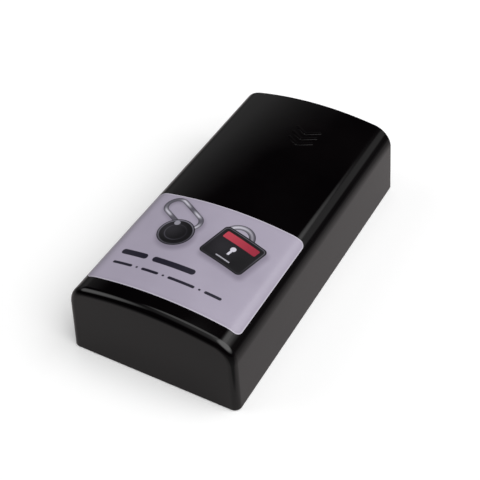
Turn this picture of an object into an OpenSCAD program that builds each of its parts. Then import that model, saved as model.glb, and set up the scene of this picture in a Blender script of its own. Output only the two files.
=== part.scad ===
// Magnetic key holder box: a glossy cover that slides off a tray with two magnets under its floor.
// X is across the box, Y along it, Z up. The closed, labelled end is at -Y and the open end at +Y.
// The origin is the middle of the plane that the magnets stand on.

/* [Box] */
// Overall width, across the bottom edge
box_w = 56; // [53:0.5:70]
// Overall length, along the bottom edge
box_l = 107; // [92:0.5:130]
// Overall height, from the magnet faces to the top of the crown
box_h = 26.7; // [25:0.1:34]
// Gap that the magnets' faces keep under the plastic
standoff = 0.2; // [0.1:0.05:0.5]

/* [Cover] */
// Wall thickness of the cover
cover_wall = 1.8; // [1.4:0.1:2.4]
// Rise of the crown over the full width
crown_rise = 3.6; // [2.5:0.1:5]
// Radius of the shoulder between the crown and a side wall
shoulder_r = 7.5; // [5:0.1:9]
// Radius of the edges round the closed end
end_edge_r = 2.2; // [1:0.1:3]
// Lean of the side walls, in degrees
side_draft = 2.6; // [0:0.1:4]
// Lean of the closed end, in degrees
front_draft = 2.9; // [0:0.1:4]
// Lean of the open end's rim, in degrees
back_draft = 0.9; // [0:0.1:2]

/* [Rails] */
// How far the cover's rails reach in from its wall
rail_reach = 1.9; // [1.6:0.1:2.2]
// Thickness of the lower rail, which hooks under the tray's runner
lower_rail_t = 1.2; // [0.8:0.1:1.8]
// Thickness of the upper rail, which rests on the tray's runner
upper_rail_t = 1; // [0.6:0.1:1.6]
// Thickness of the tray's runners
runner_t = 1.7; // [1.2:0.1:2.4]
// Clearance round the runners, over and under them and at their edge
rail_gap = 0.3; // [0.2:0.05:0.5]
// Height of the click ridges on the runners, under that clearance
ridge_h = 0.2; // [0.1:0.05:0.2]
// Length of a click ridge along the box
ridge_l = 2.4; // [1.5:0.1:4]
// Distance of the click ridges from the tray's end wall
ridge_inset = 9; // [6:0.5:20]
// Clearance at each end of a ridge, in the notch of the upper rail where it rests
ridge_gap = 0.4; // [0.2:0.1:1]

/* [Tray] */
// Wall thickness of the tray
tray_wall = 1.5; // [1.2:0.1:2]
// Outside radius of the tray's two front corners
tray_corner_r = 3; // [2.2:0.1:4]
// Length of the lead-in slope at the front of each runner
lead_in = 3; // [1:0.5:5]
// Thickness of the deck that the keys lie over
deck_t = 1.5; // [1.2:0.1:2.2]
// Height of the tray's side and front walls above the deck
tray_rise = 8.5; // [6:0.5:10]
// Thickness of the wall that closes the cover's open end
end_wall_t = 2; // [1.6:0.1:3]
// Gap between that wall and the inside of the cover
end_gap = 0.25; // [0.2:0.05:0.4]
// Distance of that wall's outer face inside the cover's rim
end_recess = 0.8; // [0.7:0.1:1.5]
// Clearance between the tray's front and the cover's closed end
front_gap = 0.3; // [0.2:0.05:0.6]
// Thickness of the foam liner on the deck
liner_t = 2.5; // [1.5:0.1:4]
// Gap between the liner's edge and the tray walls
liner_gap = 0.4; // [0.3:0.1:1]
// Width of the grip ribs on the end wall
grip_w = 26; // [16:1:32]
// Depth that a grip rib stands out
grip_out = 0.5; // [0.3:0.1:0.6]
// Number of grip ribs
grip_n = 5; // [3:1:6]
// Distance between grip ribs
grip_pitch = 2.6; // [2:0.1:3]

/* [Magnets] */
// Space between a magnet's end and the tray's end wall or front wall
magnet_end_space = 5.7; // [4.5:0.1:12]
// Width of a ferrite magnet
magnet_w = 22; // [16:0.5:24]
// Thickness of a ferrite magnet
magnet_t = 5; // [4:0.1:6]
// Space between the two magnets
magnet_space = 8.4; // [7.5:0.1:10]
// Edge chamfer of a magnet
magnet_chamfer = 0.5; // [0.2:0.1:0.8]
// Thickness of the steel backing plate over a magnet
plate_t = 1; // [0.8:0.1:1.5]
// How far a backing plate reaches past its magnet
plate_margin = 2; // [1.6:0.1:2.4]
// Corner radius of a backing plate
plate_corner_r = 1.5; // [0.5:0.1:3]
// Clearance of a magnet in its window, and of a backing plate in its fence
magnet_gap = 0.2; // [0.1:0.05:0.4]

/* [Magnet frame] */
// Thickness of the frame plate that closes the underside
frame_t = 1.5; // [1.2:0.1:2]
// Gap between the frame plate and the tray's walls
frame_gap = 0.2; // [0.1:0.05:0.4]
// Thickness of the ribs that clamp the backing plates
clamp_t = 1.2; // [0.8:0.1:1.5]
// Thickness of the fence that locates a backing plate under the deck
fence_t = 1; // [0.8:0.1:1.2]
// Depth of that fence below the deck
fence_h = 0.8; // [0.4:0.1:0.9]
// Diameter of the posts that the frame seats on
post_d = 4.4; // [3.6:0.1:5]
// Diameter of the stakes that go through the frame
stake_d = 1.8; // [1.4:0.1:2.2]
// Clearance of a stake in its hole, on the diameter
stake_gap = 0.2; // [0.1:0.05:0.4]
// Diameter of a melted stake head
head_d = 3.4; // [2.8:0.1:4]
// Depth of the pocket that a head lies in
head_depth = 0.8; // [0.5:0.05:0.9]

/* [Label] */
// Width of the label, measured over the curve from its left edge
label_w = 50.9; // [30:0.1:52]
// Length of the label, along the box
label_l = 40.1; // [20:0.1:60]
// Distance of the label from the closed end
label_inset = 7.4; // [6:0.1:12]
// Sideways shift of the label's middle, measured over the curve
label_shift = 0.35; // [-0.5:0.05:0.5]
// Thickness of the label
label_t = 0.15; // [0.1:0.05:0.3]
// Corner radius of the label
label_r = 2; // [0.5:0.1:5]

/* [Hidden] */
$fn = 48;
// A cut reaches this far past the face that it opens
past = 5;
// Steps along a shoulder and along the crown
shoulder_steps = 10;
crown_steps = 24;

// Ends of the box
front_y = -box_l / 2;
back_y = box_l / 2;

// Cross-section: a crown arc, a shoulder arc tangent to it, and a leaning side wall tangent to that
crown_r = (pow(box_w / 2, 2) + pow(crown_rise, 2)) / (2 * crown_rise);
crown_z = box_h - crown_r;
side_lean = tan(side_draft);
wall_x0 = box_w / 2 - shoulder_r / cos(side_draft);
lean_b = wall_x0 * side_lean + crown_z;
lean_c = pow(wall_x0, 2) + pow(crown_z, 2) - pow(crown_r - shoulder_r, 2);
shoulder_z = (lean_b + sqrt(pow(lean_b, 2) - (1 + pow(side_lean, 2)) * lean_c)) / (1 + pow(side_lean, 2));
shoulder_x = wall_x0 - side_lean * shoulder_z;
// Angle from the vertical at which the crown meets the shoulder
crown_a = atan2(shoulder_x, shoulder_z - crown_z);

// Half the outside width of the section at height z, moved in by t
function wall_x(z, t) = box_w / 2 - t / cos(side_draft) - side_lean * z;
// The closed end's outer face at height z, and its inner face with a wall of t
function front_at(z) = front_y + tan(front_draft) * z;
function front_inner(z, t) = front_at(z) + t / cos(front_draft);
// Points of the right half of the section moved in by t, from height z0 up to the middle of the crown
function half_section(t, z0) = concat(
    [[wall_x(z0, t), z0]],
    [for (i = [0 : shoulder_steps]) let (a = side_draft + (90 - crown_a - side_draft) * i / shoulder_steps)
        [shoulder_x + (shoulder_r - t) * cos(a), shoulder_z + (shoulder_r - t) * sin(a)]],
    [for (i = [1 : crown_steps / 2]) let (a = 90 - crown_a + crown_a * 2 * i / crown_steps)
        [(crown_r - t) * cos(a), crown_z + (crown_r - t) * sin(a)]]);
// The whole section, mirrored from its right half
function section(t, z0) = let (right = half_section(t, z0), n = len(right))
    concat(right, [for (i = [n - 2 : -1 : 0]) [-right[i].x, right[i].y]]);

// Where the rails and the tray's runners lie
groove_z = standoff + lower_rail_t;
runner_z = groove_z + rail_gap;
upper_rail_z = runner_z + runner_t + rail_gap;
rail_x = wall_x(standoff, cover_wall) - rail_reach;
runner_x = wall_x(upper_rail_z, cover_wall) - rail_gap;
upper_rail_x = rail_x - side_lean * upper_rail_z;
tray_x = upper_rail_x - rail_gap;

// Levels through the tray
plate_z = magnet_t;
deck_z = plate_z + plate_t;
floor_z = deck_z + deck_t;
tray_top = floor_z + tray_rise;
liner_z = floor_z + liner_t;
frame_top = standoff + frame_t;

// Ends of the tray: the runners stop against the closed end, and the end wall fills the open one
runner_front = front_inner(upper_rail_z, cover_wall) + front_gap;
tray_front = front_inner(tray_top, cover_wall) + front_gap;
end_out = back_y - end_recess;
end_in = end_out - end_wall_t;
rail_back = end_in - front_gap;

// The bay under the deck, and the two magnets that share its length
bay_front = tray_front + tray_wall;
bay_mid = (bay_front + end_in) / 2;
magnet_l = (end_in - bay_front - magnet_space) / 2 - magnet_end_space;
magnet_ys = [for (side = [-1, 1]) bay_mid + side * (magnet_l + magnet_space) / 2];

// Places of the frame's posts, between the backing plates' fences and the tray's walls
post_x = (magnet_w / 2 + plate_margin + magnet_gap + fence_t + tray_x - tray_wall) / 2;
post_ys = [bay_front + post_d, bay_mid, end_in - post_d];
head_z = standoff + head_depth;

// Label outline: s is measured over the crown from its middle, and label_x turns it into an X
crown_arc = crown_r * crown_a * PI / 180;
function s_angle(s) = abs(s) < crown_arc ? s * 180 / (crown_r * PI)
    : sign(s) * (crown_a + (abs(s) - crown_arc) * 180 / (shoulder_r * PI));
function label_x(s) = abs(s) < crown_arc ? crown_r * sin(s_angle(s))
    : sign(s) * (shoulder_x + shoulder_r * sin(abs(s_angle(s))));
label_mid_y = front_y + label_inset + label_l / 2;
corner_steps = 8;
function label_corner(i, q) = let (a = 90 * (q + i / corner_steps))
    [label_shift + (q == 0 || q == 3 ? 1 : -1) * (label_w / 2 - label_r) + label_r * cos(a),
        (q < 2 ? 1 : -1) * (label_l / 2 - label_r) + label_r * sin(a)];
label_outline = [for (q = [0 : 3]) for (i = [0 : corner_steps]) let (p = label_corner(i, q))
    [label_x(p.x), label_mid_y + p.y]];

module along_y(y0, y1, t, z0) {
    translate([0, y1, 0]) rotate([90, 0, 0]) linear_extrude(y1 - y0) polygon(section(t, z0));
}

module block(low, high) {
    translate(low) cube(high - low);
}

// A block whose two upright edges at -Y are rounded
module front_rounded(low, high, r) {
    block([low.x, low.y + r, low.z], high);
    block([low.x + r, low.y, low.z], [high.x - r, low.y + 2 * r, high.z]);
    for (x = [low.x + r, high.x - r])
        translate([x, low.y + r, low.z]) cylinder(h = high.z - low.z, r = r);
}

module both_sides() {
    children();
    mirror([1, 0, 0]) children();
}

// Rounded closed end: balls just inside its edge, hulled to a thin slice of the section
module closed_end(join_y) {
    hull() {
        along_y(join_y, join_y + 0.01, 0, -past);
        for (p = section(end_edge_r, -past))
            translate([p.x, front_at(p.y) + end_edge_r / cos(front_draft), p.y]) sphere(end_edge_r, $fn = 32);
    }
}

module cover_outside() {
    join_y = front_y + label_inset - 1;
    difference() {
        union() {
            along_y(join_y, back_y, 0, -past);
            closed_end(join_y);
        }
        block([-box_w, front_y - past, -3 * past], [box_w, back_y + past, standoff]);
        translate([-box_w, back_y, 0]) rotate([back_draft, 0, 0])
            translate([0, 0, -box_h]) cube([2 * box_w, past, 3 * box_h]);
    }
}

module cover_inside() {
    difference() {
        along_y(front_y, back_y + past, cover_wall, -past);
        translate([-box_w, front_inner(0, cover_wall), 0]) rotate([-front_draft, 0, 0])
            translate([0, -2 * past, -2 * box_h]) cube([2 * box_w, 2 * past, 4 * box_h]);
    }
}

// A rail under and over each runner, from the closed end to just inside the end wall
module cover_rails() {
    ridge_back = end_in - ridge_inset;
    both_sides() {
        block([rail_x, front_y + cover_wall / 2, standoff],
            [wall_x(standoff, cover_wall / 2), rail_back, groove_z]);
        upper_rail(front_y + cover_wall, ridge_back - ridge_l - ridge_gap);
        upper_rail(ridge_back + ridge_gap, rail_back);
    }
}

module upper_rail(y0, y1) {
    block([upper_rail_x, y0, upper_rail_z],
        [wall_x(upper_rail_z, cover_wall / 2), y1, upper_rail_z + upper_rail_t]);
}

module cover_shell() {
    color("#141416") union() {
        difference() {
            cover_outside();
            cover_inside();
        }
        cover_rails();
    }
}

module label_film() {
    color("#a79fb1") intersection() {
        linear_extrude(2 * box_h) polygon(label_outline);
        difference() {
            along_y(front_y, back_y, -label_t, shoulder_z / 2);
            along_y(front_y - past, back_y + past, 0, 0);
        }
    }
}

// The deck, the walls round it and round the magnet bay under it, and the runners
module tray_body() {
    inner_r = tray_corner_r - tray_wall;
    difference() {
        front_rounded([-tray_x, tray_front, standoff], [tray_x, end_in + end_wall_t / 2, tray_top],
            tray_corner_r);
        front_rounded([-tray_x + tray_wall, bay_front, floor_z],
            [tray_x - tray_wall, end_in, tray_top + past], inner_r);
        front_rounded([-tray_x + tray_wall, bay_front, standoff - past],
            [tray_x - tray_wall, end_in, deck_z], inner_r);
    }
    both_sides() {
        runner();
        click_ridge();
    }
}

// The runner on the right, with its front end sloped in so that it finds the groove
module runner() {
    root_x = tray_x - tray_wall / 2;
    translate([0, 0, runner_z]) linear_extrude(runner_t)
        polygon([[root_x, tray_front + tray_corner_r], [tray_x, runner_front], [tray_x + rail_gap, runner_front],
            [runner_x, runner_front + lead_in], [runner_x, end_in + end_wall_t / 2],
            [root_x, end_in + end_wall_t / 2]]);
}

// A half-round ridge across the top of the right runner
module click_ridge() {
    ridge_r = (pow(ridge_l / 2, 2) + pow(ridge_h, 2)) / (2 * ridge_h);
    ridge_x = (tray_x + runner_x) / 2;
    intersection() {
        translate([ridge_x, end_in - ridge_inset - ridge_l / 2, runner_z + runner_t + ridge_h - ridge_r])
            rotate([0, 90, 0]) cylinder(h = runner_x - ridge_x, r = ridge_r, $fn = 96);
        block([ridge_x, end_in - ridge_inset - ridge_l, runner_z + runner_t / 2],
            [runner_x, end_in - ridge_inset, runner_z + runner_t + 2 * ridge_h]);
    }
}

module tray_end_wall() {
    difference() {
        along_y(end_in, end_out, cover_wall + end_gap, -past);
        block([-box_w, end_in - past, -3 * past], [box_w, end_out + past, standoff]);
    }
    for (i = [0 : grip_n - 1])
        translate([0, end_out, box_h / 2 + (i - (grip_n - 1) / 2) * grip_pitch])
            rotate([0, 90, 0]) cylinder(h = grip_w, r = grip_out, center = true);
}

module backing_outline(grow, h) {
    w = magnet_w / 2 + plate_margin - plate_corner_r;
    l = magnet_l / 2 + plate_margin - plate_corner_r;
    translate([-w - plate_corner_r - grow, -l, 0]) cube([2 * (w + plate_corner_r + grow), 2 * l, h]);
    translate([-w, -l - plate_corner_r - grow, 0]) cube([2 * w, 2 * (l + plate_corner_r + grow), h]);
    for (x = [-w, w], y = [-l, l]) translate([x, y, 0]) cylinder(h = h, r = plate_corner_r + grow);
}

// Fences that locate the backing plates, and the posts with their stakes and melted heads
module tray_underside() {
    for (y = magnet_ys) translate([0, y, deck_z - fence_h]) difference() {
        backing_outline(magnet_gap + fence_t, fence_h + deck_t / 2);
        translate([0, 0, -past]) backing_outline(magnet_gap, fence_h + past);
    }
    for (x = [-post_x, post_x], y = post_ys) translate([x, y, 0]) {
        translate([0, 0, frame_top]) cylinder(h = deck_z - frame_top + deck_t / 2, d = post_d);
        translate([0, 0, head_z - head_depth / 2]) cylinder(h = frame_top, d = stake_d);
        translate([0, 0, standoff]) cylinder(h = head_depth, d1 = stake_d, d2 = head_d);
    }
}

module key_tray() {
    color("#1b1b1d") union() {
        tray_body();
        tray_end_wall();
        tray_underside();
    }
}

module foam_liner() {
    inset = tray_wall + liner_gap;
    color("#2e2e31") front_rounded([-tray_x + inset, tray_front + inset, floor_z],
        [tray_x - inset, end_in - liner_gap, liner_z], tray_corner_r - tray_wall);
}

// A ferrite block with chamfered edges round its lower face
module magnet(y) {
    c = magnet_chamfer;
    color("#3b3a3c") translate([0, y, 0]) intersection() {
        translate([-magnet_w / 2, -magnet_l / 2, 0]) cube([magnet_w, magnet_l, magnet_t]);
        rotate([90, 0, 0]) linear_extrude(2 * magnet_l, center = true)
            polygon([[-magnet_w / 2 + c, 0], [magnet_w / 2 - c, 0], [magnet_w / 2, c],
                [magnet_w / 2, magnet_t], [-magnet_w / 2, magnet_t], [-magnet_w / 2, c]]);
        rotate([90, 0, 90]) linear_extrude(2 * magnet_w, center = true)
            polygon([[-magnet_l / 2 + c, 0], [magnet_l / 2 - c, 0], [magnet_l / 2, c],
                [magnet_l / 2, magnet_t], [-magnet_l / 2, magnet_t], [-magnet_l / 2, c]]);
    }
}

module backing_plate(y) {
    color("#b9bbbe") translate([0, y, plate_z]) backing_outline(0, plate_t);
}

// Plate with a window round each magnet, and ribs that clamp the backing plates to the deck
module magnet_frame() {
    edge = tray_wall + frame_gap;
    window = [magnet_w / 2 + magnet_gap, magnet_l / 2 + magnet_gap];
    rib = window + [clamp_t, clamp_t];
    color("#202022") difference() {
        union() {
            front_rounded([-tray_x + edge, tray_front + edge, standoff],
                [tray_x - edge, end_in - frame_gap, frame_top], tray_corner_r - tray_wall);
            for (y = magnet_ys) translate([0, y, 0])
                block([-rib.x, -rib.y, standoff], [rib.x, rib.y, plate_z]);
        }
        for (y = magnet_ys) translate([0, y, 0])
            block([-window.x, -window.y, -past], [window.x, window.y, magnet_t + past]);
        for (x = [-post_x, post_x], y = post_ys) translate([x, y, 0]) {
            translate([0, 0, -past]) cylinder(h = frame_top + 2 * past, d = stake_d + stake_gap);
            translate([0, 0, standoff - past]) cylinder(h = head_depth + past, d = head_d + stake_gap);
        }
    }
}

cover_shell();
label_film();
key_tray();
foam_liner();
magnet(magnet_ys[0]);  // magnet_front
magnet(magnet_ys[1]);  // magnet_rear
backing_plate(magnet_ys[0]);  // backing_plate_front
backing_plate(magnet_ys[1]);  // backing_plate_rear
magnet_frame();
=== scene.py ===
import math

import bmesh
import bpy
from mathutils import Matrix, Vector, noise


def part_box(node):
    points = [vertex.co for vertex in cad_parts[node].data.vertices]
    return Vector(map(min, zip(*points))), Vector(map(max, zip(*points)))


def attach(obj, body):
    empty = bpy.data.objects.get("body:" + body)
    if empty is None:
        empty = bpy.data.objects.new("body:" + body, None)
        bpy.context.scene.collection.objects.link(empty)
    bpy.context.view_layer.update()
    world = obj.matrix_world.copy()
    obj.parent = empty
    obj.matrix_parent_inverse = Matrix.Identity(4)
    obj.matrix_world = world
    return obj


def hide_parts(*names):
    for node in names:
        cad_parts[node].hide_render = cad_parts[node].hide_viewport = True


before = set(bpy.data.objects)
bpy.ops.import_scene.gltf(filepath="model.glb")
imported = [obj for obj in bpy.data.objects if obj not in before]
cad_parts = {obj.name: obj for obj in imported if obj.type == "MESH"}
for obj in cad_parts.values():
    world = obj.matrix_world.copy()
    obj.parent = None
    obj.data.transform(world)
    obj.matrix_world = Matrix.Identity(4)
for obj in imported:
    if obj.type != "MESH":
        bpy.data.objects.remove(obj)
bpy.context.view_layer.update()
MM = 0.001


# Camera. A long lens a third of a metre away, above the closed end's right corner.
# Its turn, tip and roll put the box's outline where the photograph has it.
def place_camera():
    turn, tip, roll = math.radians(31.27), math.radians(43.14), math.radians(-3.43)
    distance, right_shift, up_shift = 322.56 * MM, 0.334 * MM, 3.155 * MM
    aim_height = 13.35 * MM
    back = Vector((math.sin(turn) * math.cos(tip), -math.cos(turn) * math.cos(tip), math.sin(tip)))
    level = Vector((math.cos(turn), math.sin(turn), 0))
    upright = back.cross(level)
    right = math.cos(roll) * level + math.sin(roll) * upright
    up = back.cross(right)
    lens = bpy.data.cameras.new("camera")
    lens.sensor_width, lens.lens = 36, 78.11
    lens.clip_start, lens.clip_end = 0.01, 20
    camera = bpy.data.objects.new("camera", lens)
    bpy.context.scene.collection.objects.link(camera)
    spot = Vector((0, 0, aim_height)) - right_shift * right - up_shift * up + distance * back
    camera.matrix_world = Matrix.Translation(spot) @ Matrix((right, up, back)).transposed().to_4x4()
    bpy.context.scene.camera = camera


place_camera()
bpy.context.scene.view_settings.view_transform = "Standard"


# Studio. A sheet of paper under the box, and a dim sky with soft-edged light panels in it.
# The glossy cover shows the panels as its highlights and the paper on its walls. The sky is nearly
# dark elsewhere, so that the crown stays black.
class Wire:
    """A shader socket. Arithmetic on it adds Math nodes, and node() adds any other node."""

    def __init__(self, tree, socket=None):
        self.tree, self.socket = tree, socket

    def node(self, kind, sockets=None, out=0, **settings):
        made = self.tree.nodes.new(kind)
        for name, value in settings.items():
            setattr(made, name, value)
        for name, value in (sockets or {}).items():
            if isinstance(value, Wire):
                self.tree.links.new(value.socket, made.inputs[name])
            else:
                made.inputs[name].default_value = value
        return Wire(self.tree, made.outputs[out])

    def math(self, operation, *others):
        return self.node("ShaderNodeMath", dict(enumerate((self, *others))), operation=operation)

    def __add__(self, other):
        return self.math("ADD", other)

    def __sub__(self, other):
        return self.math("SUBTRACT", other)

    def __rsub__(self, other):
        return self.node("ShaderNodeMath", {0: other, 1: self}, operation="SUBTRACT")

    def __mul__(self, other):
        return self.math("MULTIPLY", other)

    __radd__, __rmul__ = __add__, __mul__

    def abs(self):
        return self.math("ABSOLUTE")

    def length(self, other):
        return (self * self + other * other).math("SQRT")

    def least(self, other):
        return self.math("MINIMUM", other)

    def most(self, other):
        return self.math("MAXIMUM", other)

    def ramp(self, start, end, low=0.0, high=1.0):
        """Goes smoothly from low at start to high at end."""
        ends = {"Value": self, "From Min": start, "From Max": end, "To Min": low, "To Max": high}
        return self.node("ShaderNodeMapRange", ends, interpolation_type="SMOOTHSTEP")

    def mix(self, first, second):
        """Blends two colours, with this as the share of the second."""
        colour_a, colour_b, colour_out = 6, 7, 2
        inks = {"Factor": self, colour_a: first, colour_b: second}
        return self.node("ShaderNodeMix", inks, out=colour_out, data_type="RGBA")


def new_material(name):
    """A material, its Principled shader and a Wire to build its pattern with."""
    material = bpy.data.materials.new(name)
    material.use_nodes = True
    return material, material.node_tree.nodes["Principled BSDF"], Wire(material.node_tree)


def feed(shader, **values):
    """Sets a Principled shader's sockets, with _ for a space in a name."""
    for name, value in values.items():
        socket = shader.inputs[name.replace("_", " ")]
        if isinstance(value, Wire):
            value.tree.links.new(value.socket, socket)
        else:
            socket.default_value = value


def grey(value):
    return (value, value, value, 1)


def floor_paper(half_width, half_length):
    """White to the camera, with the shadows on it. What the box mirrors is a darker, plain paper.

    That one is warm grey beside the box, and painted shade takes it nearly black in front of it and far from
    it.
    """
    material, shader, wire = new_material("floor_paper")
    feed(shader, Base_Color=grey(0.95), Roughness=0.8, Specular_IOR_Level=0.1,
         Emission_Color=grey(1), Emission_Strength=0.13)
    place = wire.node("ShaderNodeTexCoord", out="Object")
    x, y = (wire.node("ShaderNodeSeparateXYZ", {"Vector": place}, out=axis) for axis in "XY")
    # Painted shade on the paper as the box mirrors it: in front of the box, at its front right corner and
    # far from it.
    painted_shade_ahead = (0 - y).ramp(45 * MM, 60 * MM, 0, 0.3) + (0 - y).ramp(70 * MM, 130 * MM, 0, 0.7)
    corner = (0 - y).ramp(53 * MM, 62 * MM) * x.ramp(27 * MM, 37 * MM)
    away = (x.abs() - half_width).most(0).length((y.abs() - half_length).most(0))
    far = away.ramp(8 * MM, 80 * MM, 0, 0.57) + away.ramp(80 * MM, 250 * MM, 0, 0.35)
    warm_grey, painted_shade_black = (0.455, 0.42, 0.42, 1), grey(0.04)
    tone = painted_shade_ahead.most(corner).most(far).mix(warm_grey, painted_shade_black)
    plain = wire.node("ShaderNodeBsdfDiffuse", {"Color": tone})
    camera, mirror, clear = (wire.node("ShaderNodeLightPath", out=kind) for kind in
                             ("Is Camera Ray", "Is Glossy Ray", "Is Transmission Ray"))
    white_in_mirror = 0.12
    white = camera + mirror * (white_in_mirror - far * white_in_mirror) + clear
    blend = wire.node("ShaderNodeMixShader", {"Fac": white, 1: plain, 2: Wire(wire.tree, shader.outputs[0])})
    wire.tree.links.new(blend.socket, wire.tree.nodes["Material Output"].inputs["Surface"])
    return material


def build_floor():
    reach, drop = 3000 * MM, 0.05 * MM
    bm = bmesh.new()
    bmesh.ops.create_grid(bm, x_segments=1, y_segments=1, size=reach)
    bmesh.ops.translate(bm, verts=bm.verts, vec=(0, 0, -drop))
    mesh = bpy.data.meshes.new("floor")
    bm.to_mesh(mesh)
    bm.free()
    mesh.materials.append(floor_paper(28 * MM, 53.5 * MM))
    floor = bpy.data.objects.new("floor", mesh)
    bpy.context.scene.collection.objects.link(floor)


def heading(turn, rise):
    """A direction, turned from the box's rear towards its right and raised, in degrees."""
    turn, rise = math.radians(turn), math.radians(rise)
    return Vector((math.sin(turn) * math.cos(rise), math.cos(turn) * math.cos(rise), math.sin(rise)))


def build_sky():
    """A dim ring above the horizon, and soft panels, each given as turn, rise, core, edge and glow.

    The first and widest panel is the key light, high on the right.
    """
    panels = ((94, 54, 20, 46, 2.85), (38, 48, 2, 15, 1.7), (41, 27, 8, 15, 0.38), (-35, 70, 8, 18, 1.4),
              (-111, 39, 3, 24, 1.7), (170, 80, 5, 40, 0.4))
    world = bpy.data.worlds.new("studio")
    bpy.context.scene.world = world
    world.use_nodes = True
    wire = Wire(world.node_tree)
    ray = wire.node("ShaderNodeTexCoord", out="Generated")
    x, y, z = (wire.node("ShaderNodeSeparateXYZ", {"Vector": ray}, out=axis) for axis in "XYZ")

    # The ring is brightest at the rear left. High up it fades out, sooner the further left it is.
    ring = z.ramp(0, 0.4, 0.12, 0.22) * y.ramp(-0.4, 0.2) * x.ramp(0, -0.35, 0.25, 1)
    lean_from, lean, ring_top, fade, brightest = 0.25, 0.25, 0.714, 8.3, 1.12
    height = z + (0 - x).most(lean_from) * lean
    glow = ring * ((ring_top - height) * fade).most(0).least(brightest)
    for turn, rise, core, edge, strength in panels:
        near = wire.node("ShaderNodeVectorMath", {0: ray, 1: heading(turn, rise)}, out="Value",
                         operation="DOT_PRODUCT")
        glow = glow.most(near.ramp(math.cos(math.radians(edge)), math.cos(math.radians(core)), 0, strength))

    # The camera sees the sky white.
    camera = wire.node("ShaderNodeLightPath", out="Is Camera Ray")
    shade = world.node_tree.nodes["Background"]
    world.node_tree.links.new(glow.most(camera).socket, shade.inputs["Strength"])
    shade.inputs["Color"].default_value = grey(1)


build_floor()
build_sky()


# Cover. One glossy black polypropylene moulding: crown, shoulders, leaning walls and a closed end,
# open at the rear and below. Rails inside its lower edges hold the tray's runners.
BOX_W, BOX_L, BOX_H, STANDOFF = 56 * MM, 107 * MM, 26.7 * MM, 0.2 * MM
WALL, CROWN_RISE, SHOULDER_R, END_EDGE_R = 1.8 * MM, 3.6 * MM, 7.5 * MM, 2.2 * MM
SIDE_LEAN, FRONT_LEAN, BACK_LEAN = (math.tan(math.radians(degrees)) for degrees in (2.6, 2.9, 0.9))
FRONT_Y, BACK_Y = -BOX_L / 2, BOX_L / 2
CROWN_R = ((BOX_W / 2) ** 2 + CROWN_RISE**2) / (2 * CROWN_RISE)
CROWN_Z = BOX_H - CROWN_R
CUT_TOLERANCE = 0.0001 * MM


def shoulder_middle():
    """X and Z of the shoulder arc's middle: it touches the leaning wall and the crown's arc."""
    x0 = BOX_W / 2 - SHOULDER_R * math.hypot(1, SIDE_LEAN)
    b = x0 * SIDE_LEAN + CROWN_Z
    a, c = 1 + SIDE_LEAN**2, x0**2 + CROWN_Z**2 - (CROWN_R - SHOULDER_R) ** 2
    z = (b + math.sqrt(b * b - a * c)) / a
    return x0 - SIDE_LEAN * z, z


SHOULDER_X, SHOULDER_Z = shoulder_middle()
CROWN_ANGLE = math.atan2(SHOULDER_X, SHOULDER_Z - CROWN_Z)


def over_crown(s, y, lift):
    """The point at s over the curve from the crown's middle line, lifted off the surface."""
    crown_arc = CROWN_R * CROWN_ANGLE
    if abs(s) < crown_arc:
        angle, middle, radius = s / CROWN_R, Vector((0, y, CROWN_Z)), CROWN_R
    else:
        angle = math.copysign(CROWN_ANGLE + (abs(s) - crown_arc) / SHOULDER_R, s)
        middle, radius = Vector((math.copysign(SHOULDER_X, s), y, SHOULDER_Z)), SHOULDER_R
    return middle + (radius + lift) * Vector((math.sin(angle), 0, math.cos(angle)))


def to_piece(name, bm):
    """Makes an object of a bmesh, shaded smooth except at edges sharper than 30 degrees."""
    bmesh.ops.recalc_face_normals(bm, faces=bm.faces)
    mesh = bpy.data.meshes.new(name)
    bm.to_mesh(mesh)
    bm.free()
    piece = bpy.data.objects.new(name, mesh)
    bpy.context.scene.collection.objects.link(piece)
    mesh.shade_smooth()
    mesh.set_sharp_from_angle(angle=math.radians(30))
    return piece


def modify(piece, kind, **settings):
    added = piece.modifiers.new(kind.lower(), kind)
    for name, value in settings.items():
        setattr(added, name, value)


def settle(piece):
    """Turns a piece's modifiers into its mesh."""
    bpy.context.view_layer.update()
    shaped = piece.evaluated_get(bpy.context.evaluated_depsgraph_get())
    mesh = bpy.data.meshes.new_from_object(shaped)
    piece.modifiers.clear()
    piece.data = mesh


def weld_on(piece, part):
    """Joins a part to a piece in one closed mesh, and removes the part."""
    modify(piece, "BOOLEAN", object=part, operation="UNION", solver="EXACT")
    settle(piece)
    bpy.data.objects.remove(part)


def trim(bm, point, normal):
    """Cuts away what lies beyond a plane, and returns the edges round the cut."""
    geometry = [*bm.verts, *bm.edges, *bm.faces]
    cut = bmesh.ops.bisect_plane(bm, geom=geometry, dist=CUT_TOLERANCE, plane_co=point, plane_no=normal,
                                 clear_outer=True)
    return [part for part in cut["geom_cut"] if isinstance(part, bmesh.types.BMEdge)]


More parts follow.
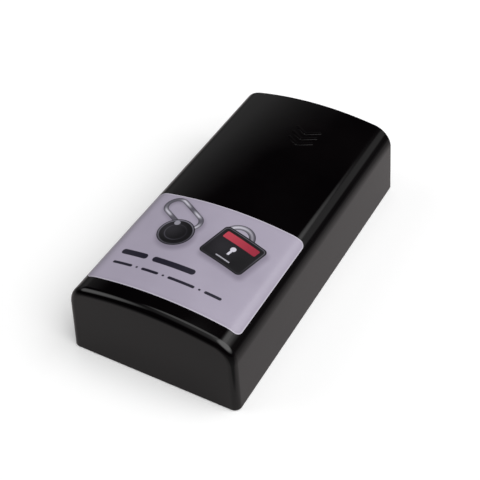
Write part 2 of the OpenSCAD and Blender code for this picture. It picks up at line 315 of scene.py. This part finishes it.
def cover_skin():
    """The cover's outside, without thickness, a little too long at the rear and below.

    Half its section is spun and mirrored, drawn out to the front, cut off and closed there.
    """
    spare, arc_steps, edge_steps = 3 * MM, 24, 8
    far, low = BACK_Y + spare, -2 * MM
    tilt = math.atan(SIDE_LEAN)
    bm = bmesh.new()
    foot = bm.verts.new((BOX_W / 2 - SIDE_LEAN * low, far, low))
    tip = bm.verts.new((SHOULDER_X + SHOULDER_R * math.cos(tilt), far,
                        SHOULDER_Z + SHOULDER_R * math.sin(tilt)))
    bm.edges.new((foot, tip))
    for x, z, angle in ((SHOULDER_X, SHOULDER_Z, math.pi / 2 - CROWN_ANGLE - tilt),
                        (0, CROWN_Z, CROWN_ANGLE)):
        spun = bmesh.ops.spin(bm, geom=[tip], cent=(x, far, z), axis=(0, -1, 0), angle=angle,
                              steps=arc_steps)
        tip = spun["geom_last"][0]
    bmesh.ops.mirror(bm, geom=[*bm.verts, *bm.edges], axis="X", merge_dist=0.001 * MM)
    grown = bmesh.ops.extrude_edge_only(bm, edges=bm.edges[:])["geom"]
    grown = [part for part in grown if isinstance(part, bmesh.types.BMVert)]
    bmesh.ops.translate(bm, verts=grown, vec=(0, -BOX_L - 2 * spare, 0))
    rim = trim(bm, (0, FRONT_Y, 0), (0, -1, FRONT_LEAN))
    feet = sorted({v for edge in rim for v in edge.verts}, key=lambda v: v.co.z)[:2]
    bmesh.ops.contextual_create(bm, geom=[*rim, bm.edges.new(feet)])
    bmesh.ops.recalc_face_normals(bm, faces=bm.faces[:])
    bmesh.ops.bevel(bm, geom=rim, offset=END_EDGE_R, offset_type="OFFSET", segments=edge_steps, profile=0.5,
                    affect="EDGES", material=-1, clamp_overlap=False)
    return bm


def soften(bm, width):
    """Rounds every edge that is sharper than a radian."""
    sharp = [edge for edge in bm.edges if edge.calc_face_angle(0) > 1]
    bmesh.ops.bevel(bm, geom=sharp, offset=width, offset_type="OFFSET", segments=2, profile=0.5,
                    affect="EDGES", material=-1, clamp_overlap=False)


def trim_ends(piece):
    """Cuts the thick cover square at the rear and flat below, closes both cuts and softens them."""
    bm = bmesh.new()
    bm.from_mesh(piece.data)
    for point, normal in (((0, BACK_Y, 0), (0, 1, BACK_LEAN)), ((0, 0, STANDOFF), (0, 0, -1))):
        bmesh.ops.contextual_create(bm, geom=trim(bm, point, normal))
    soften(bm, 0.18 * MM)
    bm.to_mesh(piece.data)
    bm.free()


def cover_rails():
    """Two rails along each side: the runners ride on the lower one, and the upper one has a click notch.

    Each block is given by two corners in millimetres, and its outer side is sunk in the wall.
    """
    sunk, rear, notch_front, notch_rear = 27, 50.4, 38.9, 42.1
    bm = bmesh.new()
    for low, high in (((24.29, -52.6, 0.2), (sunk, rear, 1.4)),
                      ((24.12, -52.2, 3.7), (sunk, notch_front, 4.7)),
                      ((24.12, notch_rear, 3.7), (sunk, rear, 4.7))):
        low, high = Vector(low) * MM, Vector(high) * MM
        made = bmesh.ops.create_cube(bm, size=1)["verts"]
        bmesh.ops.scale(bm, verts=made, vec=high - low)
        bmesh.ops.translate(bm, verts=made, vec=(low + high) / 2)
    soften(bm, 0.12 * MM)
    bmesh.ops.mirror(bm, geom=[*bm.verts, *bm.edges, *bm.faces], axis="X", merge_dist=0)
    return bm


def gloss_black():
    """Polished black polypropylene: near-black, a faint flow ripple, and a haze of handling."""
    material, shader, wire = new_material("gloss_black")
    place = wire.node("ShaderNodeTexCoord", out="Object")
    ripple = wire.node("ShaderNodeTexNoise", {"Vector": place, "Scale": 130, "Detail": 2}, out="Fac")
    grain = wire.node("ShaderNodeTexNoise", {"Vector": place, "Scale": 2600, "Detail": 2}, out="Fac")
    haze = wire.node("ShaderNodeTexNoise", {"Vector": place, "Scale": 38, "Detail": 6}, out="Fac")
    feed(shader, IOR=1.49,
         Base_Color=haze.ramp(0.3, 0.75).mix((0.0014, 0.001, 0.0013, 1), (0.0026, 0.002, 0.0023, 1)),
         Roughness=haze.ramp(0.35, 0.7, 0.055, 0.095),
         Normal=wire.node("ShaderNodeBump", {"Height": ripple + grain * 0.04, "Distance": 0.02 * MM,
                                             "Strength": 0.5}))
    return material


def dress(piece, body, slot, material, *nodes):
    """Gives a piece its material and the body it rides on, and hides the CAD nodes that it stands for."""
    piece.data.materials.clear()
    piece.data.materials.append(material)
    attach(piece, body)
    if nodes:
        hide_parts(*nodes)


cover = to_piece("cover", cover_skin())
modify(cover, "SOLIDIFY", thickness=WALL, offset=-1, use_even_offset=True, use_quality_normals=True)
settle(cover)
trim_ends(cover)
weld_on(cover, to_piece("rails", cover_rails()))
cover.data.set_sharp_from_angle(angle=math.radians(50))
modify(cover, "WEIGHTED_NORMAL", keep_sharp=True, weight=50)
dress(cover, "cover", "cover", gloss_black(), "cover_shell")


# Slide mark. Three low chevrons moulded on the crown near the rear, part of the cover's moulding.
# They point the way the cover slides off, and they are as glossy as the rest.
def chevrons():
    middle_s, rise, width, length, slant = 4 * MM, 0.14 * MM, 1.2 * MM, 5.2 * MM, 0.55
    top, foot, spread = 0.6 * rise, -1.5 * rise, 0.41
    bm = bmesh.new()
    for along in (32 * MM, 35 * MM, 38 * MM):
        for side in (-1, 1):
            arm = bmesh.ops.create_cube(bm, size=1)["verts"]
            bmesh.ops.scale(bm, verts=arm, vec=(length, width, rise))
            bmesh.ops.rotate(bm, verts=arm, cent=(0, 0, 0), matrix=Matrix.Rotation(side * slant, 3, "Z"))
            bmesh.ops.translate(bm, verts=arm, vec=(middle_s + side * length * spread, along, 0))
    for vert in bm.verts:
        vert.co = over_crown(vert.co.x, vert.co.y, top if vert.co.z > 0 else foot)
    return bm


def ease_edges(piece, width, angle=40):
    """Rounds the sharp edges, and keeps the flat faces flat to the eye."""
    modify(piece, "BEVEL", width=width, segments=2, limit_method="ANGLE",
           angle_limit=math.radians(angle), use_clamp_overlap=False, loop_slide=False)
    modify(piece, "WEIGHTED_NORMAL", keep_sharp=False, weight=50)


mark = to_piece("slide_mark", chevrons())
dress(mark, "cover", "cover", cover.data.materials[0])
ease_edges(mark, 0.07 * MM)


# Label. A sheet of printed self-adhesive film, lavender grey and satin, pressed over the crown and
# down on to both shoulders. A pale cut edge shows all round it. Its print is placed in millimetres,
# across the box from its middle and along it, on the sheet as it lies flat.
LABEL_LEFT, LABEL_RIGHT, LABEL_FRONT, LABEL_BACK = -25.1 * MM, 25.8 * MM, -46.1 * MM, -6 * MM
LABEL_W, LABEL_L = LABEL_RIGHT - LABEL_LEFT, LABEL_BACK - LABEL_FRONT
LABEL_MIDDLE = (LABEL_LEFT + LABEL_RIGHT) / 2, (LABEL_FRONT + LABEL_BACK) / 2
LABEL_CORNER, FILM = 2 * MM, 0.12 * MM
LAVENDER, LAVENDER_PALE = (0.388, 0.352, 0.442, 1), (0.414, 0.376, 0.47, 1)
INK_BLACK, SHINE = (0.0035, 0.003, 0.0045, 1), (0.66, 0.64, 0.72, 1)
SILVER, SILVER_EDGE = (0.3, 0.29, 0.34, 1), (0.03, 0.028, 0.036, 1)
# Each motif's middle across and along the box, and its turn in degrees.
LOCK, SHACKLE, TAG, HOOK = (9.4, -20.6, -13), (8.2, -15.6, -13), (-9.4, -21.4, 24), (-11.6, -13.4, 58)
# Half the lock's width and height, and the tag's radius.
LOCK_W, LOCK_H, TAG_R = 7.9, 6.5, 5.7


def slice_across(bm, axis, start, length, count):
    """Cuts a mesh into equal strips along an axis."""
    normal = Vector((0, 0, 0))
    normal[axis] = 1
    for step in range(1, count):
        bmesh.ops.bisect_plane(bm, geom=[*bm.verts, *bm.edges, *bm.faces], dist=CUT_TOLERANCE,
                               plane_co=normal * (start + length * step / count), plane_no=normal)


def label_sheet():
    """A flat sheet with round corners, cut into strips and then bent over the crown."""
    glue, strips_across, strips_along = 0.01 * MM, 102, 12
    bm = bmesh.new()
    bmesh.ops.create_grid(bm, x_segments=1, y_segments=1, size=0.5)
    bmesh.ops.scale(bm, verts=bm.verts, vec=(LABEL_W, LABEL_L, 1))
    bmesh.ops.translate(bm, verts=bm.verts, vec=(*LABEL_MIDDLE, 0))
    bmesh.ops.bevel(bm, geom=bm.verts[:], offset=LABEL_CORNER, offset_type="OFFSET", segments=8, profile=0.5,
                    affect="VERTICES", material=-1)
    slice_across(bm, 0, LABEL_LEFT, LABEL_W, strips_across)
    slice_across(bm, 1, LABEL_FRONT, LABEL_L, strips_along)
    flat = bm.loops.layers.uv.new("flat")
    for face in bm.faces:
        for corner in face.loops:
            corner[flat].uv = corner.vert.co.xy / MM
    for vert in bm.verts:
        vert.co = over_crown(vert.co.x, vert.co.y, glue)
    return bm


def placed(at, motif, shift=(0, 0)):
    """Coordinates from a motif's middle, turned with it. A shift moves it, as its shadow is."""
    across, along = at[0] - (motif[0] + shift[0]), at[1] - (motif[1] + shift[1])
    cos, sin = math.cos(math.radians(motif[2])), math.sin(math.radians(motif[2]))
    return across * cos + along * sin, along * cos - across * sin


def slab(at, half_width, half_height, corner):
    """How far outside a rectangle with round corners a point lies."""
    over_u = at[0].abs() - (half_width - corner)
    over_v = at[1].abs() - (half_height - corner)
    return over_u.most(0).length(over_v.most(0)) + over_u.most(over_v).least(0) - corner


def disc(at, radius):
    """How far outside a circle a point lies."""
    return at[0].length(at[1]) - radius


def ink(distance, soft=0.07):
    """1 inside an outline and 0 outside it, over a soft edge."""
    return distance.ramp(soft, -soft)


def print_shadows(colour, at):
    """Soft shadows under the lock, the tag and the hook."""
    outer, inner, depth = 1.5, -0.9, 0.55
    for outline in (slab(placed(at, LOCK, (0.9, -1.4)), LOCK_W, LOCK_H, 1.4),
                    disc(placed(at, TAG, (0.8, -1.4)), TAG_R),
                    slab(placed(at, HOOK, (0.6, -0.9)), 3.4, 8, 3.3).abs() - 0.5):
        colour = (outline.ramp(outer, inner) * depth).mix(colour, (0.15, 0.13, 0.18, 1))
    return colour


def print_hook(colour, at, cloud):
    """A long loop of round silver bar, dark at its edges and bright along its middle."""
    hook = placed(at, HOOK)
    bar = slab(hook, 3.2, 7.8, 3.15).abs()
    gleam = (hook[1] * 0.9 + cloud * 9).math("SINE").ramp(-1, 1)
    colour = ink(bar - 0.78).mix(colour, SILVER_EDGE)
    colour = ink(bar - 0.6, 0.25).mix(colour, gleam.mix((0.11, 0.105, 0.13, 1), SILVER))
    return (ink((bar - 0.12).abs() - 0.12, 0.1) * gleam).mix(colour, SHINE)


def print_tag(colour, at):
    """A round black fob on the hook, with a silver rim, a raised ring and a soft light across it."""
    tag = placed(at, TAG)
    rim, ring = ink(disc(tag, 5.2).abs() - 0.18, 0.12), ink(disc(tag, 3.3).abs() - 0.14, 0.12)
    light = ink(disc((tag[0] + 1.6, tag[1] - 2), 3), 2.6) * 0.25
    colour = ink(disc(tag, TAG_R)).mix(colour, INK_BLACK)
    colour = (rim * tag[1].ramp(-6, 6, 0.25, 1)).mix(colour, (0.22, 0.21, 0.26, 1))
    colour = (ring * tag[0].ramp(-5, 5, 0.7, 0.1)).mix(colour, (0.1, 0.095, 0.12, 1))
    colour = light.mix(colour, (0.07, 0.065, 0.08, 1))
    rivet = ink(disc((tag[0], tag[1] - 4.1), 0.95))
    return rivet.mix(colour, SILVER)


def print_shackle(colour, at):
    """A silver arch with straight legs, cut off where the lock's body covers it."""
    arch = placed(at, SHACKLE)
    bar = disc((arch[0], arch[1].most(0)), 4.2).abs()
    foot = -7
    above = ink(foot - arch[1])
    tone = arch[0].ramp(-4, 4).mix((0.34, 0.33, 0.38, 1), (0.12, 0.11, 0.14, 1))
    colour = (ink(bar - 1.0) * above).mix(colour, SILVER_EDGE)
    colour = (ink(bar - 0.75, 0.3) * above).mix(colour, tone)
    return (ink((bar - 0.15).abs() - 0.13, 0.12) * above * arch[0].ramp(4, -4, 0.3, 1)).mix(colour, SHINE)


def print_lock(colour, at):
    """A black body with a pale inner line, a soft light, a red band, a keyhole and a silver bar."""
    lock = placed(at, LOCK)
    inset = 0.55
    line = slab(lock, LOCK_W - inset, LOCK_H - inset, 1.1).abs()
    line = ink(line - 0.1, 0.12) * lock[1].ramp(-6, 6, 0.2, 1)
    light = ink(disc((lock[0] + 3.5, lock[1] + 1), 4), 4) * 0.2
    band = ink(slab((lock[0], lock[1] - 3.5), 6.1, 1.35, 0.45))
    red = lock[0].ramp(-6, 6).mix((0.5, 0.05, 0.08, 1), (0.33, 0.02, 0.045, 1))
    keyhole = ink(disc((lock[0], lock[1] - 0.1), 0.9))
    keyhole = keyhole.most(ink(slab((lock[0], lock[1] + 1.3), 0.38, 1.2, 0.2)))
    bar = ink(slab((lock[0], lock[1] + 4.5), 2.6, 0.22, 0.2))
    colour = ink(slab(lock, LOCK_W, LOCK_H, 1.5)).mix(colour, INK_BLACK)
    colour = line.mix(colour, (0.13, 0.125, 0.15, 1))
    colour = light.mix(colour, (0.06, 0.055, 0.07, 1))
    colour = band.mix(colour, red)
    colour = keyhole.mix(colour, SHINE)
    return bar.mix(colour, (0.4, 0.39, 0.44, 1))


def print_bars(colour, at):
    """Plain bars and dots where words would stand: a heavy row and a light one."""
    heavy_row, heavy, light_row, light, dot = -33.8, 1.05, -38.6, 0.5, 0.36
    marks = None
    for left, right, row, half in ((-20, -11.2, heavy_row, heavy), (-9.4, 4.6, heavy_row, heavy),
                                   (-20, -13.4, light_row, light), (-10.2, -4.6, light_row, light),
                                   (-1.4, 7.2, light_row, light), (10.4, 15.8, light_row, light)):
        bar = ink(slab((at[0] - (left + right) / 2, at[1] - row), (right - left) / 2, half, half * 0.9))
        marks = bar if marks is None else marks.most(bar)
    for left in (-11.8, -3.0, 8.8):
        marks = marks.most(ink(disc((at[0] - left, at[1] - light_row), dot)))
    return marks.mix(colour, (0.012, 0.01, 0.022, 1))


def print_edge(colour, at):
    """A faint line inside the rim, and the pale cut edge."""
    middle = (at[0] - LABEL_MIDDLE[0] / MM, at[1] - LABEL_MIDDLE[1] / MM)
    rim = slab(middle, LABEL_W / 2 / MM, LABEL_L / 2 / MM, LABEL_CORNER / MM)
    line_inset, line_half, line_soft, line_share = 0.75, 0.3, 0.25, 0.07
    line = ink((rim + line_inset).abs() - line_half, line_soft) * line_share
    colour = line.mix(colour, (0.24, 0.21, 0.28, 1))
    return rim.ramp(-0.34, -0.2).mix(colour, (0.58, 0.55, 0.63, 1))


def printed_film():
    """Satin film under a thin clear coat, printed over a slightly uneven lavender grey."""
    material, shader, wire = new_material("printed_film")
    flat = wire.node("ShaderNodeUVMap", uv_map="flat")
    at = tuple(wire.node("ShaderNodeSeparateXYZ", {"Vector": flat}, out=axis) for axis in "XY")
    cloud = wire.node("ShaderNodeTexNoise", {"Vector": flat, "Scale": 0.06, "Detail": 4}, out="Fac")
    grain = wire.node("ShaderNodeTexNoise", {"Vector": flat, "Scale": 5, "Detail": 2}, out="Fac")
    colour = cloud.ramp(0.3, 0.7).mix(LAVENDER, LAVENDER_PALE)
    colour = print_shadows(colour, at)
    colour = print_hook(colour, at, cloud)
    colour = print_tag(colour, at)
    colour = print_shackle(colour, at)
    colour = print_lock(colour, at)
    colour = print_bars(colour, at)
    colour = print_edge(colour, at)
    feed(shader, Base_Color=colour, Coat_Weight=0.5, Coat_Roughness=0.12,
         Roughness=cloud.ramp(0.3, 0.7, 0.32, 0.42),
         Normal=wire.node("ShaderNodeBump", {"Height": grain, "Distance": 0.01 * MM, "Strength": 0.4}))
    return material


label = to_piece("label", label_sheet())
modify(label, "SOLIDIFY", thickness=FILM, offset=1)
settle(label)
label.data.set_sharp_from_angle(angle=math.radians(50))
dress(label, "cover", "label", printed_film(), "label_film")


# Tray. The fixed half, moulded in matt black polypropylene: deck, walls, runners and an end wall
# with grip ribs. Its stakes are melted over to hold the frame below.
def matt_black(name, tint, roughness):
    """Spark-textured black polypropylene, paler where hands and keys have rubbed it."""
    material, shader, wire = new_material(name)
    place = wire.node("ShaderNodeTexCoord", out="Object")
    pits = wire.node("ShaderNodeTexNoise", {"Vector": place, "Scale": 3200, "Detail": 3}, out="Fac")
    cloud = wire.node("ShaderNodeTexNoise", {"Vector": place, "Scale": 60, "Detail": 5}, out="Fac")
    feed(shader, IOR=1.45,
         Base_Color=cloud.ramp(0.35, 0.7).mix(grey(tint), grey(tint * 1.5)),
         Roughness=cloud.ramp(0.3, 0.7, roughness - 0.05, roughness + 0.06) + pits * 0.1,
         Normal=wire.node("ShaderNodeBump", {"Height": pits, "Distance": 0.02 * MM, "Strength": 0.6}))
    return material


def finish_node(name, material, edge, angle=35):
    """Gives a CAD solid its finish, and takes the knife edge off its corners."""
    piece = bpy.data.objects[name]
    piece.material_slots[0].material = material
    modify(piece, "WELD", merge_threshold=0.001 * MM)
    ease_edges(piece, edge, angle)


finish_node("key_tray", matt_black("matt_black", 0.012, 0.5), 0.12 * MM)


# Foam liner. A die-cut pad of soft dark foam on the deck, so that keys neither rattle nor slide.
# It is open-celled, and its cut edges are slightly rounded over.
def foam_pad():
    """A pad with round corners and a rolled top edge, whose skin rises and dips very slightly."""
    corner_r, roll_r, sag = 1.6 * MM, 0.7 * MM, 0.12 * MM
    strips_across, strips_along = 30, 66
    broad_waves, fine_waves, fine_share, raised = 90, 260, 0.5, 1.2
    low, high = (Vector(corner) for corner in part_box("foam_liner"))
    middle, size = (low + high) / 2, high - low
    bm = bmesh.new()
    bmesh.ops.create_grid(bm, x_segments=1, y_segments=1, size=0.5)
    bmesh.ops.scale(bm, verts=bm.verts, vec=(size.x, size.y, 1))
    bmesh.ops.translate(bm, verts=bm.verts, vec=(middle.x, middle.y, low.z))
    bmesh.ops.bevel(bm, geom=bm.verts[:], offset=corner_r, offset_type="OFFSET", segments=6, profile=0.5,
                    affect="VERTICES", material=-1)
    top = bmesh.ops.extrude_face_region(bm, geom=bm.faces[:])["geom"]
    bmesh.ops.translate(bm, verts=[v for v in top if isinstance(v, bmesh.types.BMVert)], vec=(0, 0, size.z))
    brim = [edge for edge in bm.edges if all(v.co.z > middle.z for v in edge.verts)]
    bmesh.ops.bevel(bm, geom=brim, offset=roll_r, offset_type="OFFSET", segments=4, profile=0.5,
                    affect="EDGES", material=-1)
    slice_across(bm, 0, low.x, size.x, strips_across)
    slice_across(bm, 1, low.y, size.y, strips_along)
    for vert in bm.verts:
        if vert.co.z > middle.z:
            wave = noise.noise(vert.co * broad_waves) + fine_share * noise.noise(vert.co * fine_waves)
            vert.co.z -= sag * (wave + raised) / 2
    return bm


def open_cells():
    """Charcoal foam: fine open cells with painted shade in their pits, in slightly uneven tone."""
    material, shader, wire = new_material("open_cells")
    place = wire.node("ShaderNodeTexCoord", out="Object")
    cells = wire.node("ShaderNodeTexVoronoi", {"Vector": place, "Scale": 2300}, out="Distance")
    pores = wire.node("ShaderNodeTexVoronoi", {"Vector": place, "Scale": 900}, out="Distance")
    cloud = wire.node("ShaderNodeTexNoise", {"Vector": place, "Scale": 70, "Detail": 4}, out="Fac")
    tone = cloud.ramp(0.3, 0.7).mix(grey(0.03), grey(0.042))
    # The base colour darkens the cells' pits with painted shade.
    feed(shader, Roughness=0.95, Specular_IOR_Level=0.2,
         Base_Color=(pores.ramp(0.12, 0.3, 0.75, 0) + cells.ramp(0.1, 0.35, 0.3, 0)).mix(tone, grey(0.008)),
         Normal=wire.node("ShaderNodeBump", {"Height": cells + pores, "Distance": 0.12 * MM}))
    return material


foam = to_piece("foam", foam_pad())
dress(foam, "base", "foam", open_cells(), "foam_liner")


# Magnets. Two ferrite blocks under the deck, pressed and sintered, dark grey and slightly dusty.
# They stand just proud of the plastic, so they touch the steel that the box is stuck to.
def ferrite():
    material, shader, wire = new_material("ferrite")
    place = wire.node("ShaderNodeTexCoord", out="Object")
    grain = wire.node("ShaderNodeTexNoise", {"Vector": place, "Scale": 1800, "Detail": 5}, out="Fac")
    cloud = wire.node("ShaderNodeTexNoise", {"Vector": place, "Scale": 120, "Detail": 5}, out="Fac")
    feed(shader, Base_Color=cloud.ramp(0.3, 0.7).mix(grey(0.045), grey(0.085)),
         Roughness=grain.ramp(0.3, 0.7, 0.5, 0.75),
         Normal=wire.node("ShaderNodeBump", {"Height": grain, "Distance": 0.03 * MM}))
    return material


block = ferrite()
for name in ("magnet_front", "magnet_rear"):
    finish_node(name, block, 0.08 * MM, 20)


# Backing plates. Zinc-plated steel behind each magnet: it closes the field and doubles the hold.
# Each is bonded to its magnet and clamped between the frame's ribs and the deck.
def plated_steel():
    """Zinc over drawn steel, brushed along the box."""
    material, shader, wire = new_material("plated_steel")
    place = wire.node("ShaderNodeTexCoord", out="Object")
    drawn = wire.node("ShaderNodeMapping", {"Vector": place, "Scale": (2600, 60, 2600)})
    brush = wire.node("ShaderNodeTexNoise", {"Vector": drawn, "Scale": 1, "Detail": 3}, out="Fac")
    cloud = wire.node("ShaderNodeTexNoise", {"Vector": place, "Scale": 150, "Detail": 4}, out="Fac")
    feed(shader, Metallic=1, Base_Color=cloud.ramp(0.3, 0.7).mix((0.5, 0.51, 0.53, 1), (0.6, 0.6, 0.6, 1)),
         Roughness=brush.ramp(0.2, 0.8, 0.28, 0.45),
         Normal=wire.node("ShaderNodeBump", {"Height": brush, "Distance": 0.01 * MM}))
    return material


plate = plated_steel()
for name in ("backing_plate_front", "backing_plate_rear"):
    finish_node(name, plate, 0.1 * MM)


# Magnet frame. A black polypropylene plate that closes the underside round the magnets.
# Six stakes from the tray come through its posts and are melted into the pockets.
finish_node("magnet_frame", matt_black("frame_black", 0.014, 0.45), 0.1 * MM)
